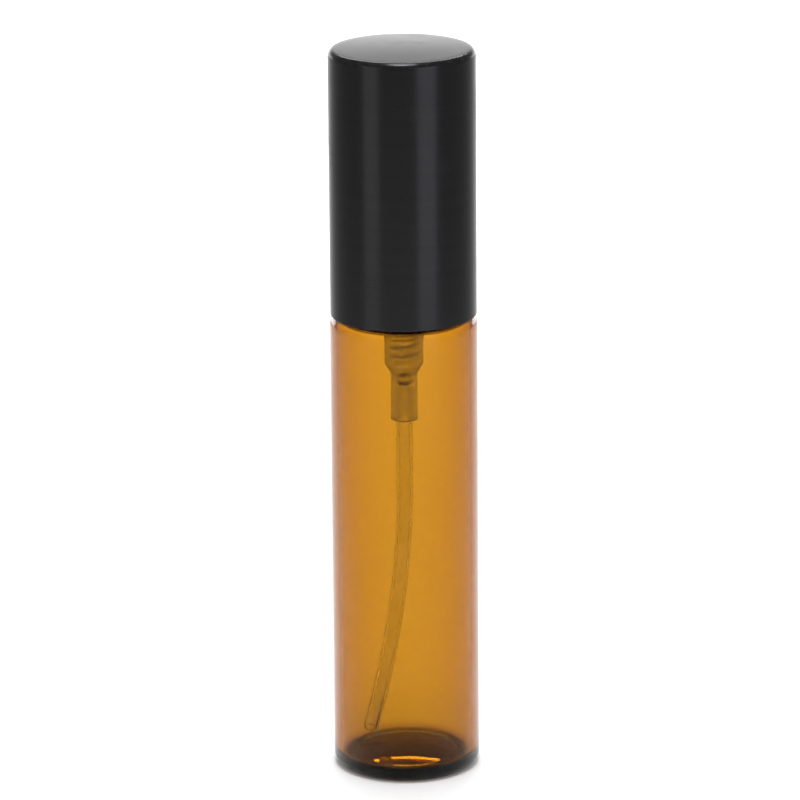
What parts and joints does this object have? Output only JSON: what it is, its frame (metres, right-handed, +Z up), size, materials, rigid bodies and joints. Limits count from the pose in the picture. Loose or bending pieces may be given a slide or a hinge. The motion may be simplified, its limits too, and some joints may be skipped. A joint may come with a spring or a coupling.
{
  "type": "tube perfume atomiser",
  "caption": "Slim amber glass tube atomiser with a flush black metal over-cap, a screw-on fine-mist pump and a curled dip tube.",
  "frame": {"origin": "on the bottle's axis, in the plane of the ring that it stands on", "axes": "+Z up along the bottle's axis, -Y the way the spray leaves, +X to the right of someone facing the nozzle"},
  "size_m": [0.018, 0.018, 0.0905],
  "materials": {
    "amber_glass": "clear, polished, amber tint",
    "black_anodised": "satin black anodised",
    "white_plastic": "moulded, satin",
    "clear_plastic": "milky translucent",
    "foam": "expanded foam, matt",
    "black_rubber": "matt",
    "steel": "bright"
  },
  "bodies": {
    "bottle": {"glass_bottle": "amber_glass"},
    "pump": {"pump_housing": "clear_plastic", "neck_gasket": "foam", "housing_turret": "white_plastic", "stem_seal": "black_rubber", "dip_tube": "clear_plastic", "return_spring": "steel"},
    "check_ball": {"check_ball": "steel"},
    "stem": {"pump_stem": "white_plastic", "stem_poppet": "white_plastic"},
    "piston": {"piston": "white_plastic"},
    "head": {"actuator_core": "white_plastic", "actuator_shell": "black_anodised", "nozzle_insert": "white_plastic"},
    "collar": {"screw_closure": "white_plastic", "collar_sleeve": "black_anodised"},
    "overcap": {"overcap_shell": "black_anodised", "overcap_liner": "white_plastic"}
  },
  "joints": [
    {"name": "pump_rise", "type": "slide", "parent": "bottle", "child": "pump", "axis": [0, 0, 1], "range_m": [0, 0.00315]},
    {"name": "collar_turn", "type": "hinge", "parent": "pump", "child": "collar", "pos_m": [0, 0, 0.06], "axis": [0, 0, 1], "range_deg": [0, 541]},
    {"name": "cap_lift", "type": "slide", "parent": "collar", "child": "overcap", "axis": [0, 0, 1], "range_m": [0, 0.036]},
    {"name": "stem_press", "type": "slide", "parent": "pump", "child": "stem", "axis": [0, 0, -1], "range_m": [0, 0.0045], "stiffness_N_per_m": 1500, "springref_m": -0.0006, "deforming": ["return_spring"]},
    {"name": "head_turn", "type": "hinge", "parent": "stem", "child": "head", "pos_m": [0, 0, 0.08], "axis": [0, 0, 1], "continuous": true},
    {"name": "piston_slip", "type": "slide", "parent": "stem", "child": "piston", "axis": [0, 0, 1], "range_m": [0, 0.0004]},
    {"name": "ball_lift", "type": "slide", "parent": "pump", "child": "check_ball", "axis": [0, 0, 1], "range_m": [0, 0.0008]}
  ],
  "couplings": [
    {"joint": "collar_turn", "follows": "pump_rise", "rad_per_m": 2992}
  ]
}
